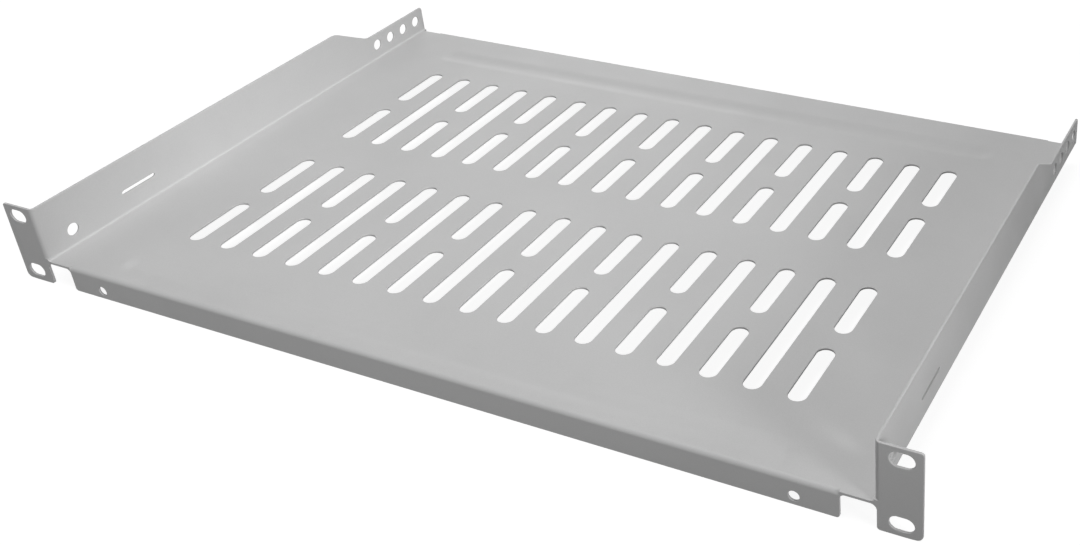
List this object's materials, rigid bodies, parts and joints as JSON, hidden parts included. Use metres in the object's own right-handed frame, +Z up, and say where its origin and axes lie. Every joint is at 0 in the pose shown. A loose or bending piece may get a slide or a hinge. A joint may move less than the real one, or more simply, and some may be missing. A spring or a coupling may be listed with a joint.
{
  "type": "rack shelf",
  "caption": "Fixed cantilever shelf for a 19-inch rack, folded from one perforated sheet, with low side walls, slotted ears and turned-down lips.",
  "frame": {"origin": "middle of the four ear slots, on the back face of the ears, where they meet the rack's rails", "axes": "+X across the rack to the right as seen from the front, +Y into the rack towards the shelf's rear, +Z up"},
  "size_m": [0.4826, 0.3, 0.0436],
  "materials": {
    "powder_coat": "fine satin powder coat, light grey"
  },
  "bodies": {
    "root": {"shelf": "powder_coat"}
  },
  "joints": []
}
